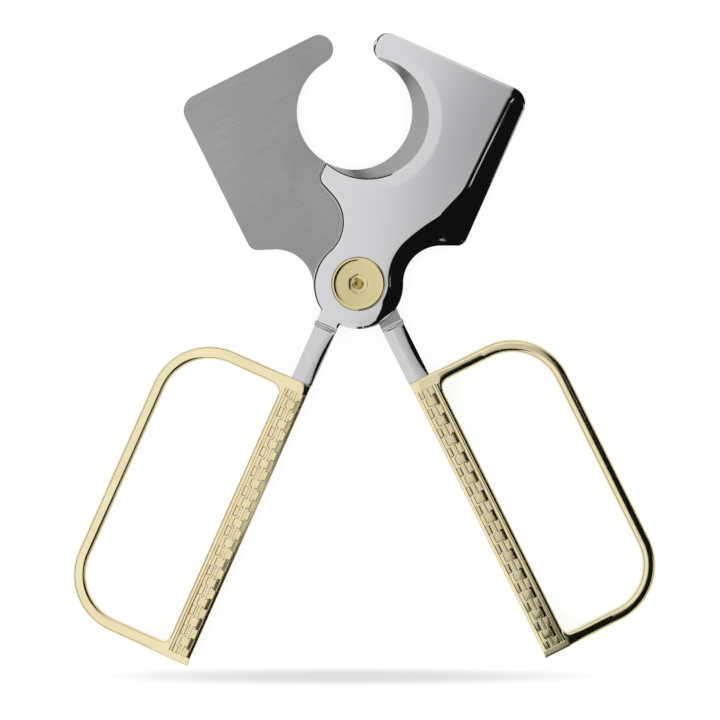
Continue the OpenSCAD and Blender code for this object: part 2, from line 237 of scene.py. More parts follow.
def blade_outline():
    """The blank's outline, anticlockwise from the stub, with the rounding of each edge.

    The sides are 0 the stub, 1 the hub and hollow, 2 the wing, 3 the top, 4 the tip towards the
    notch and 5 the other blade's side. Each rounding is (width, inner slope, outer slope).
    """
    stub_x = -(PARTING + STUB_W)
    hub_left = (HUB_R * math.cos(HUB_JOIN), HUB_R * math.sin(HUB_JOIN))
    run_x = CORNER_X + SHOULDER_R * math.sin(SHOULDER_A)
    run_y = CORNER_Y - SHOULDER_R * math.cos(SHOULDER_A)
    thin, low, hub, neck = (0.5, 0.3, 0.8), (0.9, 0.2, 0.7), (3.3, 0.03, 0.27), (3.4, 0.03, 0.24)
    hollow, shoulder, corner = (4.2, 0.03, 0.22), (4.8, 0.03, 0.22), (5.2, 0.03, 0.20)
    wing_foot, wing, wing_mid = (5.6, 0.06, 0.18), (6.0, 0.08, 0.29), (5.4, 0.09, 0.46)
    wing_top, turn_in, turn_out = (4.8, 0.05, 0.48), (3.4, 0.05, 0.5), (2.6, 0.06, 0.5)
    top, left = (0.5, 0.3, 0.7), (1.05, 0.80, 1.2)
    left_hub, stub_end = (0.7, 0.6, 1.1), (0.2, 0.2, 0.4)
    parts = [
        rim(0, line((-PARTING, COLLAR_Y), (-PARTING, -HUB_R)), thin, thin),
        rim(0, arc(0, 0, HUB_R, HUB_FOOT, HUB_THIN), thin, thin),
        rim(1, arc(0, 0, HUB_R, HUB_THIN, HUB_LOW), thin, low),
        rim(1, arc(0, 0, HUB_R, HUB_LOW, HUB_FULL), low, hub),
        rim(1, arc(0, 0, HUB_R, HUB_FULL, NECK_A), hub, neck),
        rim(1, arc(FILLET_X, FILLET_Y, FILLET_R, math.pi + NECK_A, RIGHT + SHOULDER_A),
            neck, hollow),
        rim(1, line((NECK_X, NECK_Y), (run_x, run_y)), hollow, shoulder),
        rim(1, arc(CORNER_X, CORNER_Y, SHOULDER_R, SHOULDER_A - RIGHT, -SHOULDER_A, FINE_STEP),
            shoulder, corner),
        rim(2, arc(CORNER_X, CORNER_Y, SHOULDER_R, -SHOULDER_A, 0, FINE_STEP), wing_foot, wing),
        rim(2, line((WING_X, CORNER_Y), (WING_X, WING_MID)), wing, wing_mid),
        rim(2, line((WING_X, WING_MID), (WING_X, TOP_Y - TOP_R)), wing_mid, wing_top),
        rim(2, arc(WING_X - TOP_R, TOP_Y - TOP_R, TOP_R, 0, TOP_TURN, FINE_STEP),
            wing_top, turn_in),
        rim(3, arc(WING_X - TOP_R, TOP_Y - TOP_R, TOP_R, TOP_TURN, RIGHT, FINE_STEP),
            turn_out, top),
        rim(3, line((WING_X - TOP_R, TOP_Y), (TIP_X, TOP_Y)), top, top),
        rim(3, arc(TIP_X, TIP_Y, TIP_R, RIGHT, math.pi, FINE_STEP), top, left),
        rim(4, arc(TIP_X, TIP_Y, TIP_R, math.pi, 3 * RIGHT, FINE_STEP), left, thin),
        rim(4, line((TIP_X, NOTCH_Y + TIP_RUN), (-WING_X, NOTCH_Y)), thin, thin),
        rim(5, line((-WING_X, NOTCH_Y), (-WING_X, CORNER_Y)), left, left),
        rim(5, arc(-CORNER_X, CORNER_Y, SHOULDER_R, math.pi, 3 * RIGHT - SHOULDER_A, FINE_STEP),
            left, left),
        rim(5, line((-run_x, run_y), (-NECK_X, NECK_Y)), left, left),
        rim(5, arc(-FILLET_X, FILLET_Y, FILLET_R, RIGHT - SHOULDER_A, -NECK_A), left, left),
        rim(5, arc(0, 0, HUB_R, math.pi - NECK_A, HUB_JOIN), left, left_hub),
        rim(0, line(hub_left, (stub_x, COLLAR_Y)), thin, thin),
        rim(0, line((stub_x, COLLAR_Y), (-PARTING, COLLAR_Y)), stub_end, stub_end),
    ]
    rows = np.concatenate(parts)
    apart = np.linalg.norm(rows[:, :2] - np.roll(rows[:, :2], 1, 0), axis=1) > 1e-3
    return rows[apart]


OUTLINE = blade_outline()
# how softly the edges' rounding begins, and the sweep that joins the hollow to the wing
SIDES, BROAD_SIDES = 6, (1, 2)
SOFT_EDGE, SOFT_BROAD, REACH = 0.10, 0.35, 1.02
SWEEP_R, SWEEP_WING, SWEEP_HOLLOW, SWEEP_FADE, SWEEP_SOFT = 8.0, 0.12, 0.34, 6.0, 0.9


def edge_drop(q):
    """How far the rounding of the blade's edges lowers its outer face at points q."""
    total = np.zeros(len(q))
    depth = np.full((2, len(q)), -SWEEP_R)
    a, b = OUTLINE, np.roll(OUTLINE, -1, 0)
    mid = (a[:, :2] + b[:, :2]) / 2
    real = np.hypot(mid[:, 0] - NOTCH_X, mid[:, 1] - NOTCH_Y) > NOTCH_R
    for side in range(SIDES):
        own = real & (a[:, 5] == side)
        sa, sb = a[own], b[own]
        ab = sb[:, :2] - sa[:, :2]
        len2 = np.maximum((ab ** 2).sum(1), 1e-12)
        broad = side in BROAD_SIDES
        reach = REACH * max(sa[:, 2].max(), sb[:, 2].max()) + SWEEP_R * broad
        low, high = sa[:, :2].min(0) - reach, sa[:, :2].max(0) + reach
        near = np.flatnonzero(((q > low) & (q < high)).all(1))
        soften = SOFT_BROAD if broad else SOFT_EDGE
        for k in range(0, len(near), CHUNK):
            pick = near[k:k + CHUNK]
            p = q[pick][:, None]
            t = np.clip(((p - sa[:, :2]) * ab).sum(-1) / len2, 0, 1)
            d = np.sqrt(((p - sa[:, :2] - t[..., None] * ab) ** 2).sum(-1))
            width, m0, m1 = (sa[:, i] + t * (sb[:, i] - sa[:, i]) for i in (2, 3, 4))
            u = np.clip(1 - d / width, 0, 1)
            fall = width * (m0 * (u - soften * (1 - np.exp(-u / soften))) + (m1 - m0) * u ** 3 / 3)
            total[pick] += fall.max(1) ** 3
            if broad:
                depth[side - 1, pick] = (width - d).max(1)
    # one broad soft sweep joins the hollow's rounding to the wing's
    inner = np.maximum(depth + SWEEP_R, 0)
    span = np.hypot(inner[0], inner[1])
    share = (inner[0] / np.maximum(span, 1e-6)) ** 2
    slope = SWEEP_WING + (SWEEP_HOLLOW - SWEEP_WING) * share
    sweep = span - SWEEP_R
    onset = np.clip(sweep + SWEEP_SOFT, 0, 2 * SWEEP_SOFT) ** 2 / (4 * SWEEP_SOFT)
    sweep = np.where(sweep > SWEEP_SOFT, sweep, onset)
    return total ** (1 / 3) + slope * SWEEP_FADE * (1 - np.exp(-sweep / SWEEP_FADE))


# the face leans in over a band round the bevel, and has a lip at the band's lower side
NOTCH_BAND, NOTCH_SLOPE, NOTCH_CREASE = 3.1, 0.075, 0.12
LIP_SLOPE, LIP_W, LIP_FROM, LIP_FADE, LIP_TO = 0.85, 0.32, -0.45, 0.35, -3.0
BLADE_MIN = 0.15


def outer_height(q):
    """Height of the blade's polished outer face at points q."""
    crown = FACE_Z + SPOT_D - (CROWN_R - np.sqrt(CROWN_R ** 2 - q[:, 0] ** 2))
    d = NOTCH_BAND - (np.hypot(q[:, 0] - BEVEL_X, q[:, 1] - NOTCH_Y) - BEVEL_R)
    lean = NOTCH_SLOPE * (np.sqrt(d ** 2 + NOTCH_CREASE ** 2) + d) / 2
    around = np.arctan2(q[:, 1] - NOTCH_Y, q[:, 0] - BEVEL_X)
    low_side = np.clip((LIP_FROM - around) / LIP_FADE, 0, 1) * (around > LIP_TO)
    lip = LIP_SLOPE * low_side * np.clip(d - NOTCH_BAND + LIP_W, 0, 1)
    return np.maximum(crown - edge_drop(q) - lean - lip, BLADE_Z + BLADE_MIN)


def outer_normals(q, h=0.01):
    """Unit normals of the outer face at points q."""
    z = outer_height(q)
    dx = (outer_height(q + [h, 0]) - outer_height(q - [h, 0])) / (2 * h)
    dy = (outer_height(q + [0, h]) - outer_height(q - [0, h])) / (2 * h)
    n = np.stack([-dx, -dy, np.ones(len(q))], 1)
    return n / np.linalg.norm(n, axis=1)[:, None]


def cut_loop(cx, cy, r, n=150):
    """The outline with a disc cut out: its loop, and the arc's points in order."""
    out = OUTLINE[:, :2]
    free = np.hypot(out[:, 0] - cx, out[:, 1] - cy) > r
    start = next(i for i in range(len(out)) if free[i] and not free[i - 1])
    order = [(start + i) % len(out) for i in range(len(out)) if free[(start + i) % len(out)]]
    kept = out[order]

    def crossing(p, q):
        lo, hi = 0.0, 1.0
        for _ in range(40):
            mid = (lo + hi) / 2
            m = p + mid * (q - p)
            lo, hi = (mid, hi) if math.hypot(m[0] - cx, m[1] - cy) > r else (lo, mid)
        return p + lo * (q - p)

    leave = crossing(kept[-1], out[(order[-1] + 1) % len(out)])
    back = crossing(kept[0], out[start - 1])
    a0, a1 = math.atan2(leave[1] - cy, leave[0] - cx), math.atan2(back[1] - cy, back[0] - cx)
    if a1 > a0:
        a1 -= 2 * math.pi
    curve = arc(cx, cy, r, a0, a1, abs(a1 - a0) * r / n)
    curve[0], curve[-1] = leave, back
    return kept, curve


def lift(points, z):
    """Flat points given a height."""
    return np.concatenate([points, np.broadcast_to(np.reshape(z, (-1, 1)), (len(points), 1))], 1)


def ring(r, z, n=96):
    """A circle of points round the pivot."""
    a = np.linspace(0, 2 * math.pi, n, endpoint=False)
    r, z = np.broadcast_to(r, n), np.broadcast_to(z, n)
    return np.stack([r * np.cos(a), r * np.sin(a), z], 1)


# the outer face's inner points: their spacing, and their distance from edges and crease
FIELD_STEP, FIELD_X, FIELD_LOW, FIELD_HIGH, TRIANGLE = 0.5, 22, -13, 60, 0.866
EDGE_CLEAR, SEAT_CLEAR, CREASE_CLEAR, CREASE_STEP, BAND_CLEAR = 1.05, 0.4, 0.35, 0.14, 0.8
EDGE_ROWS, ROW_CLEAR = (0.1, 0.24, 0.42, 0.64), 0.93


def blade_shell():
    """A blade: slot 0 outer face, 1 mating face, 2 bevel and land, 3 walls and screw seat."""
    shell = Shell()
    kept, outer_arc = cut_loop(BEVEL_X, NOTCH_Y, BEVEL_R)
    low_kept, edge_arc = cut_loop(NOTCH_X, NOTCH_Y, NOTCH_R)
    top_loop = np.concatenate([kept, outer_arc])
    low_loop = np.concatenate([low_kept, edge_arc])
    seat = ring(SEAT_R, 0)[:, :2]

    gx, gy = np.meshgrid(np.arange(-FIELD_X, FIELD_X, FIELD_STEP),
                         np.arange(FIELD_LOW, FIELD_HIGH, FIELD_STEP * TRIANGLE))
    gx = gx + (np.arange(gx.shape[0]) % 2)[:, None] * FIELD_STEP / 2
    field = np.stack([gx.ravel(), gy.ravel()], 1)
    field = field[inside(field, top_loop)]
    field = field[gap_to(field, top_loop) > EDGE_CLEAR]
    field = field[np.hypot(field[:, 0], field[:, 1]) > SEAT_R + SEAT_CLEAR]
    crease = np.hypot(field[:, 0] - BEVEL_X, field[:, 1] - NOTCH_Y) - BEVEL_R - NOTCH_BAND
    field = field[np.abs(crease) > CREASE_CLEAR]
    extra = [field]
    tangent = np.roll(top_loop, -1, 0) - np.roll(top_loop, 1, 0)
    inward = np.stack([-tangent[:, 1], tangent[:, 0]], 1)
    inward /= np.linalg.norm(inward, axis=1)[:, None]
    for d in EDGE_ROWS:
        near = top_loop + d * inward
        near = near[inside(near, top_loop)]
        extra.append(near[gap_to(near, top_loop) > ROW_CLEAR * d])
    for d in (NOTCH_BAND - CREASE_STEP, NOTCH_BAND, NOTCH_BAND + CREASE_STEP):
        band = arc(BEVEL_X, NOTCH_Y, BEVEL_R + d, -math.pi, math.pi, FIELD_STEP)[1:]
        band = band[inside(band, top_loop)]
        extra.append(band[gap_to(band, top_loop) > BAND_CLEAR])
    co, tris = fill([top_loop, seat], np.concatenate(extra))
    shell.add(lift(co, outer_height(co)), tris, 0)

    low_co, low_tris = fill([low_loop, ring(BORE_R, 0)[:, :2]], np.zeros((0, 2)))
    shell.add(lift(low_co, BLADE_Z), low_tris, 1)

    wall = np.concatenate([[outer_arc[-1]], kept, [outer_arc[0]]])
    high = outer_height(wall)
    rows = [lift(wall, BLADE_Z + (high - BLADE_Z) * f) for f in (0, 0.5, 1)]
    shell.grid(rows, 3)
    land_z = BLADE_Z + LAND
    for outer_end, edge_end in ((0, 0), (-1, -1)):
        o, e = outer_arc[outer_end], edge_arc[edge_end]
        oz = float(outer_height(o[None])[0])
        shell.add([(*o, BLADE_Z), (*o, oz), (*e, land_z), (*e, BLADE_Z)], [(0, 1, 2, 3)], 3)
    shell.strip(lift(edge_arc, BLADE_Z), lift(edge_arc, land_z), 2)
    top_edge, low_edge = lift(outer_arc, outer_height(outer_arc)), lift(edge_arc, land_z)
    shell.grid([low_edge + (top_edge - low_edge) * f for f in np.linspace(0, 1, 6)], 2)

    rim_z = outer_height(seat)
    sink_z = FACE_Z - SINK_D
    shell.grid([ring(SEAT_R, rim_z), ring(SEAT_R, FACE_Z), ring(SINK_R, FACE_Z),
                ring(SINK_R, sink_z), ring(BORE_R, sink_z), ring(BORE_R, BLADE_Z)], 3, closed=True)
    return shell


# ---------------------------------------------------------------- handles

def ease(t):
    """0 below 0, 1 above 1, smooth between."""
    t = np.clip(t, 0, 1)
    return t * t * (3 - 2 * t)


def rounding(gap, w, h):
    """How far an edge rounded over width w by height h lowers a face, at a gap from the edge."""
    f = np.clip(1 - gap / w, 0, 1)
    return h * (1 - np.sqrt(np.maximum(1 - f ** 2, 0)))


def steps(*spans):
    """Grid lines: each span is (from, to, step)."""
    lines = [np.linspace(a, b, max(2, int(abs(b - a) / s) + 1)) for a, b, s in spans]
    return list(set(np.round(np.concatenate(lines), 5)))


def ordered(lines, apart):
    """Grid lines in order, each further than apart from the one before."""
    lines = np.array(sorted(lines))
    return lines[np.concatenate([[True], np.diff(lines) > apart])]


# the bar's face: where the loop joins it, its rounded edges, groove, bead, rail, facet and flare
JOIN_TOP, JOIN_END, JOIN_FADE, PANEL_FADE = -30.3, -96.4, 0.6, 0.3
OUTER_W, OUTER_D, END_W, END_D, INNER_W = 1.0, 0.9, 0.45, 0.4, 0.16
GROOVE_X, GROOVE_W, GROOVE_D = 1.07, 0.07, 0.2
BEAD_X, BEAD_W, BEAD_D, RAIL_D, RAIL_MAX = 1.2, 0.45, 0.04, 0.15, 1.3
FACET_X, FACET_Y, FACET_R, FACET_FOOT, FACET_SLOPE, FACET_D = -3.6, -28.8, 2.0, -40, 0.30, 0.5
FLARE_X, FLARE_W = -2.0, 1.6
# where its grid lines are close
CHANNEL_WALL, CHANNEL_NEAR, INNER_NEAR, END_NEAR, OUTER_NEAR = 0.03, 0.2, -0.5, 0.5, 0.12
GROOVE_FROM, GROOVE_TO = -5.8, -5.5


def bar_height(x, y):
    """Height of the bar's face over its outline, before the panel's channel is sunk."""
    e = x + BAR_OUT
    z = np.full_like(x, HALF_T)
    joined = np.maximum(ease((y - JOIN_TOP) / JOIN_FADE), ease((JOIN_END - y) / JOIN_FADE))
    z -= rounding(e, OUTER_W, OUTER_D) * (1 - joined)
    in_panel = (ease((CHANNEL_TOP + PANEL_FADE / 2 - y) / PANEL_FADE)
                * ease((y - CHANNEL_END + PANEL_FADE / 2) / PANEL_FADE))
    z -= in_panel * GROOVE_D * np.exp(-((e - GROOVE_X) / GROOVE_W) ** 2)
    z -= in_panel * BEAD_D * np.clip((e - BEAD_X) / BEAD_W, 0, 1) ** 2
    z -= in_panel * RAIL_D * np.clip((x + CHANNEL_IN) / (CHANNEL_IN - BAR_X), 0, RAIL_MAX)
    z -= INNER_W * np.clip(1 - (-BAR_X - x) / INNER_W, 0, 1) ** 2
    # the facet above the panel, outside a rounded corner
    corner = np.where(y > FACET_Y, np.hypot(np.maximum(x - FACET_X, 0), y - FACET_Y) - FACET_R,
                      x - FACET_X - FACET_R)
    corner = np.where(x > FACET_X, corner, 0)
    facet = (1 - in_panel) * (y > FACET_FOOT) * np.maximum(corner, 0)
    z -= np.minimum(FACET_SLOPE * facet, FACET_D)
    for gap in (HANDLE_Y - y, y - HANDLE_END):
        z -= rounding(gap, END_W, END_D)
    return z


def bar_shell():
    """A bar, finely divided at its edges, groove and channel."""
    xs = steps((-BAR_OUT, -BAR_OUT + OUTER_NEAR, 0.02), (-BAR_OUT + OUTER_NEAR, GROOVE_FROM, 0.1),
               (GROOVE_FROM, GROOVE_TO, 0.025), (GROOVE_TO, -CHANNEL_OUT, 0.1),
               (-CHANNEL_OUT, -CHANNEL_IN, 0.4), (-CHANNEL_IN, INNER_NEAR, 0.12),
               (INNER_NEAR, -BAR_X, 0.03))
    xs = ordered(xs + [-CHANNEL_OUT + CHANNEL_WALL, -CHANNEL_IN - CHANNEL_WALL], 1e-4)
    ys = steps((HANDLE_Y, HANDLE_Y - END_NEAR, 0.06),
               (HANDLE_Y - END_NEAR, CHANNEL_TOP + CHANNEL_NEAR, 0.22),
               (CHANNEL_TOP + CHANNEL_NEAR, CHANNEL_TOP - CHANNEL_NEAR, 0.06),
               (CHANNEL_TOP - CHANNEL_NEAR, CHANNEL_END + CHANNEL_NEAR, 1.6),
               (CHANNEL_END + CHANNEL_NEAR, CHANNEL_END - CHANNEL_NEAR, 0.06),
               (CHANNEL_END - CHANNEL_NEAR, HANDLE_END + END_NEAR, 0.3),
               (HANDLE_END + END_NEAR, HANDLE_END, 0.06))
    ys = ordered(ys + [CHANNEL_TOP, CHANNEL_TOP - CHANNEL_WALL, CHANNEL_END,
                       CHANNEL_END + CHANNEL_WALL], 1e-4)
    X, Y = np.meshgrid(xs, ys)
    Z = bar_height(X, Y)
    within = CHANNEL_WALL / 2
    sunk = ((X > -CHANNEL_OUT + within) & (X < -CHANNEL_IN - within)
            & (Y < CHANNEL_TOP - within) & (Y > CHANNEL_END + within))
    Z = np.where(sunk, CHANNEL_Z, Z)
    lean = FLARE * np.clip(1 - (Y - HANDLE_END) / FLARE_L, 0, 1)
    X = X + lean * ease((X - FLARE_X) / FLARE_W)
    shell = Shell()
    for side in (1, -1):
        shell.grid([np.stack([X[j], Y[j], side * Z[j]], 1) for j in range(len(ys))])
    levels = np.linspace(-1, 1, 7)
    for j in (0, -1):
        shell.grid([np.stack([X[j], Y[j], t * Z[j]], 1) for t in levels])
    for i in (0, -1):
        shell.grid([np.stack([X[:, i], Y[:, i], t * Z[:, i]], 1) for t in levels])
    return shell


# the rod: its divisions, the feet it spreads into, its rise towards the bar, its section's power
ROD_SIDES, ROD_SINK, ROD_STEP, BEND_STEP, SIDE_STEP = 40, 0.35, 0.3, 0.5, 1.5
FOOT_TOP, FOOT_END = 2.3, 1.5
RAMP_FROM, RAMP_L, RAMP_H, RAMP_EASED = 0.5, 11.5, 1.40, 0.15
ROD_POWER, JOIN_POWER, JOIN_L = 2.7, 1.5, 5.0


def rod_path():
    """The loop's centreline from the bar's top to its foot, with the inward side's direction."""
    top_y, end_y = HANDLE_Y - ROD_W / 2, HANDLE_END + ROD_W / 2
    start_x, side_x = -BAR_OUT + ROD_SINK, -BEND_X - BEND_R
    path = np.concatenate([
        line((start_x, top_y), (-BEND_X, top_y), ROD_STEP),
        arc(-BEND_X, BEND_TOP, BEND_R, RIGHT, math.pi, BEND_STEP)[1:],
        line((side_x, BEND_TOP), (side_x, BEND_END), SIDE_STEP)[1:],
        arc(-BEND_X, BEND_END, BEND_R, math.pi, 3 * RIGHT, BEND_STEP)[1:],
        line((-BEND_X, end_y), (start_x, end_y), ROD_STEP)[1:],
    ])
    tangent = np.gradient(path, axis=0)
    tangent /= np.linalg.norm(tangent, axis=1)[:, None]
    inward = np.stack([-tangent[:, 1], tangent[:, 0]], 1)
    return path, inward


def bow_shell():
    """A loop: a rod of rounded square section that grows wider and higher towards its bar."""
    path, inward = rod_path()
    half_w = ROD_W / 2
    a = np.linspace(0, 2 * math.pi, ROD_SIDES, endpoint=False) + math.pi / ROD_SIDES
    c, z = np.cos(a), np.sin(a)
    rows = []
    for (x, y), side in zip(path, inward):
        s = max(-BAR_OUT - x, 0.0)
        foot = FOOT_TOP if y > (BEND_TOP + BEND_END) / 2 else FOOT_END
        spread = foot - math.sqrt(foot ** 2 - max(foot - s, 0.0) ** 2)
        on_side = BEND_END + 1e-6 < y < BEND_TOP - 1e-6
        ramp = 0.0 if on_side else min(max(1 - (s - RAMP_FROM) / RAMP_L, 0), 1)
        eased = (1 - RAMP_EASED) * ramp + RAMP_EASED * float(ease(ramp))
        half_h = ROD_T / 2 + RAMP_H * eased
        power = ROD_POWER + JOIN_POWER * float(ease(1 - s / JOIN_L)) * (ramp > 0)
        across = np.sign(c) * np.abs(c) ** (2 / power) * half_w
        up = np.sign(z) * (half_h - half_w + np.abs(z) ** (2 / power) * half_w)
        across = across + spread * np.clip(across / half_w, 0, 1)
        rows.append(np.stack([x + side[0] * across, y + side[1] * across, up], 1))
    shell = Shell()
    shell.grid(rows, closed=True)
    shell.cap(rows[0])
    shell.cap(rows[-1])
    return shell


# ---------------------------------------------------------------- woven strips

STRIP_W = CHANNEL_OUT - CHANNEL_IN - 2 * STRIP_FIT
STRIP_L = CHANNEL_TOP - CHANNEL_END - 2 * STRIP_FIT
WEAVE_ROWS = int(STRIP_L // WEAVE_PITCH)
WIDE_W, SIDE_W = 0.6 * STRIP_W, 0.3 * STRIP_W
WIDE_L, SIDE_L = 0.42 * WEAVE_PITCH, 0.48 * WEAVE_PITCH
RIB_GAP, RIB_RISE, RECESS_SLOPE = 0.6, 0.8, 0.17
RIB_W = STRIP_W - 2 * SIDE_W - RIB_GAP
FILLED = 0.10
PAD_FLOOR, PAD_RISE = STRIP_BASE + FILLED, WEAVE_RISE - FILLED
BLOCK_LINES, TOP_LINES = (0.2, 0.1, 0, -0.01), (-0.3, -0.1, 0.1, 0.3)
STEEP = 0.35


def pad(x, y, cx, cy, w, l, edge=0.20, puff=0.03):
    """A block with bevelled edges and a slightly puffed top; 0 outside it."""
    fx, fy = w / 2 - np.abs(x - cx), l / 2 - np.abs(y - cy)
    flank = np.clip(np.minimum(fx, fy) / edge, 0, 1)
    crown = np.clip(1 - (2 * (x - cx) / w) ** 2, 0, 1)
    crown = crown * np.clip(1 - (2 * (y - cy) / l) ** 2, 0, 1)
    return flank * (PAD_RISE - puff + puff * crown)


def weave_height(x, y):
    """Height of the weave over its strip; x is across from the middle, y is down from the top."""
    rise = pad(x, y, 0, -STRIP_L / 2, RIB_W, STRIP_L + 1, puff=0.0) * RIB_RISE
    for row in range(WEAVE_ROWS + 1):
        cy = -STRIP_L / 2 + (row - WEAVE_ROWS / 2) * WEAVE_PITCH
        for side in (-1, 1):
            rise = np.maximum(rise, pad(x, y, side * (STRIP_W - SIDE_W) / 2, cy, SIDE_W, SIDE_L))
        if row < WEAVE_ROWS:
            rise = np.maximum(rise, pad(x, y, 0, cy + WEAVE_PITCH / 2, WIDE_W, WIDE_L))
    beside = np.abs(x) - (STRIP_W / 2 - SIDE_W)
    floor = PAD_FLOOR - RECESS_SLOPE * np.maximum(beside, 0)
    return np.maximum(floor, (PAD_FLOOR + rise) * (rise > 0))


def strip_shell():
    """A woven strip: slot 0 its blocks and floors, slot 1 the steep flanks between them."""
    half = STRIP_W / 2
    marks = (0, RIB_W / 2, WIDE_W / 2, half - SIDE_W, half)
    xs = {round(side * (m - d), 4) for m in marks for d in BLOCK_LINES for side in (-1, 1)}
    xs |= set(np.round(np.linspace(-half, half, 19), 4))
    xs = ordered((v for v in xs if abs(v) <= half + 1e-6), 2e-3)
    ys = {0.0, round(-STRIP_L, 4)}
    for row in range(WEAVE_ROWS + 1):
        cy = -STRIP_L / 2 + (row - WEAVE_ROWS / 2) * WEAVE_PITCH
        for centre, long in ((cy, SIDE_L), (cy + WEAVE_PITCH / 2, WIDE_L)):
            ys |= {round(centre + side * (long / 2 - d), 4)
                   for side in (-1, 1) for d in BLOCK_LINES}
            ys |= {round(centre + t * long, 4) for t in TOP_LINES}
    ys = ordered((v for v in ys if -STRIP_L - 1e-6 <= v <= 0), 2e-3)
    X, Y = np.meshgrid(xs, ys)
    Z = weave_height(X, Y)
    over_x = np.abs(np.diff(Z, axis=1)) / np.diff(xs)[None, :]
    over_y = np.abs(np.diff(Z, axis=0)) / np.diff(ys)[:, None]
    slope = np.maximum(np.maximum(over_x[:-1], over_x[1:]),
                       np.maximum(over_y[:, :-1], over_y[:, 1:]))
    X = X - (CHANNEL_IN + CHANNEL_OUT) / 2
    Y = Y + CHANNEL_TOP - STRIP_FIT
    top = np.stack([X, Y, Z + CHANNEL_Z], -1)
    low = np.stack([X, Y, np.full_like(Z, CHANNEL_Z)], -1)
    shell = Shell()
    n = len(xs)
    for flank in (False, True):
        cells = [j * n + i for j, i in np.argwhere((slope > STEEP) == flank).tolist()]
        shell.add(top.reshape(-1, 3), [(k, k + 1, k + n + 1, k + n) for k in cells], int(flank))
    for a, b in ((low[0], top[0]), (low[-1], top[-1]), (low[:, 0], top[:, 0]),
                 (low[:, -1], top[:, -1])):
        shell.strip(a, b)
    shell.cap(np.concatenate([low[0], low[1:, -1], low[-1, -2::-1], low[-2:0:-1, 0]]))
    return shell


# ---------------------------------------------------------------- shanks

# points across a bevel, and how its profile and its width along the shank curve
SHANK_EDGE, EDGE_POWER, BELLY_POWER = 6, 1.3, 0.8
# the collar's steps: how far down, half height, how far it stands out
COLLAR = ((0, 2.70, 0.15), (0.22, 2.93, 0.35), (0.48, 2.93, 0.35), (0.68, 2.73, 0.20),
          (0.74, 2.73, 0.20), (0.90, 2.88, 0.3), (1.08, 2.88, 0.3))
COLLAR_BEVEL, COLLAR_LIP, COLLAR_LIP_T = 0.25, 0.12, 2.62
BAR_FROM, BAR_SHORT, BAR_ROWS = 0.03, 0.05, 30
BEVEL_W, BEVEL_W_MORE, BEVEL_H, BEVEL_H_MORE = 0.35, 0.75, 0.2, 0.38


def section(y, x_in, x_out, top, bevel_w, bevel_h):
    """A ring of points round a bar of the given sides, with broad soft bevels."""
    quarter = [(bevel_w * f, -bevel_h * (1 - f) ** EDGE_POWER)
               for f in np.linspace(0, 1, SHANK_EDGE)]
    points = []
    for sx, sz in ((-1, 1), (1, 1), (1, -1), (-1, -1)):
        for dx, dz in quarter if sx * sz < 0 else quarter[::-1]:
            points.append((x_out + dx if sx < 0 else x_in - dx, y, sz * (top + dz)))
    return np.array(points)


def shank_shell():
    """A shank: slot 0 its collar and bar, slot 1 the tang inside the handle bar."""
    inner, outer = -PARTING, -(PARTING + SHANK_W)
    collar = [(COLLAR_Y - down, top, out) for down, top, out in COLLAR]
    collar += [(SHANK_Y, COLLAR_LIP_T, COLLAR_LIP), (SHANK_Y - 0.02, SHANK_T / 2, 0.0)]
    rows = [section(y, inner, outer - out, top, COLLAR_BEVEL, COLLAR_BEVEL)
            for y, top, out in collar]
    for t in np.linspace(0, 1, BAR_ROWS):
        y = SHANK_Y - BAR_FROM + t * (HANDLE_Y - SHANK_Y - BAR_SHORT)
        belly = math.sin(math.pi * t) ** BELLY_POWER
        rows.append(section(y, inner, outer, SHANK_T / 2, BEVEL_W + BEVEL_W_MORE * belly,
                            BEVEL_H + BEVEL_H_MORE * belly))
    shell = Shell()
    shell.grid(rows, closed=True)
    shell.cap(rows[0])
    shell.cap(rows[-1])
    x = -(PARTING + BAR_W / 2)
    corners = [(x - TANG_W / 2, HANDLE_Y - TANG_L), (x + TANG_W / 2, HANDLE_Y - TANG_L),
               (x + TANG_W / 2, HANDLE_Y + TANG_ROOT), (x - TANG_W / 2, HANDLE_Y + TANG_ROOT)]
    bottom, lid = ([(*c, z) for c in corners] for z in (-TANG_T / 2, TANG_T / 2))
    shell.strip(bottom, lid, 1, closed=True)
    shell.cap(bottom, 1)
    shell.cap(lid, 1)
    return shell


# ---------------------------------------------------------------- pivot screw

def hex_ring(scale, z, n=96, soft=10.0):
    """A hexagon with softened corners, one of them towards +Y in the open cutter."""
    a = np.linspace(0, 2 * math.pi, n, endpoint=False)
    phase = a - REST / 2 - math.radians(30)
    flat = HEX_AF / 2 * scale
    r = np.zeros(n)
    for k in range(6):
        c = np.clip(np.cos(phase - math.radians(60 * k + 30)), 1e-3, None)
        r += (c / flat) ** soft
    r = r ** (-1 / soft)
    r = r * flat / r.min()
    return np.stack([r * np.cos(a), r * np.sin(a), np.full(n, z)], 1)


# the head's rim: how far inside its edge, height over its seat
HEAD_RIM = ((0.02, 0), (0, 0.12), (0, 0.32), (0.06, 0.46), (0.2, 0.62), (0.36, 0.73), (0.5, 0.785),
            (0.6, HEAD_H), (0.68, HEAD_H - 0.02), (0.82, HEAD_H - 0.08))
DISH_EDGE, DISH_IN, DISH_TOP, DISH_D = 1.1, 2.95, 0.12, 0.17
# the socket: the hexagon's scale and depth under the dish, its foot over the floor, the drilling
SOCKET, SOCKET_FOOT = ((1.12, 0), (1.05, 0.03), (1.0, 0.12)), ((0.985, 0.05), (0.94, 0))
DRILLED = ((1.5, 0), (DRILL_R, 0.06), (0.7, 0.62), (0.05, 1.2))
BOSS_OVER, THREAD_D, THREAD_HALF, SHAFT_END = 0.4, 0.16, 0.2, 0.6


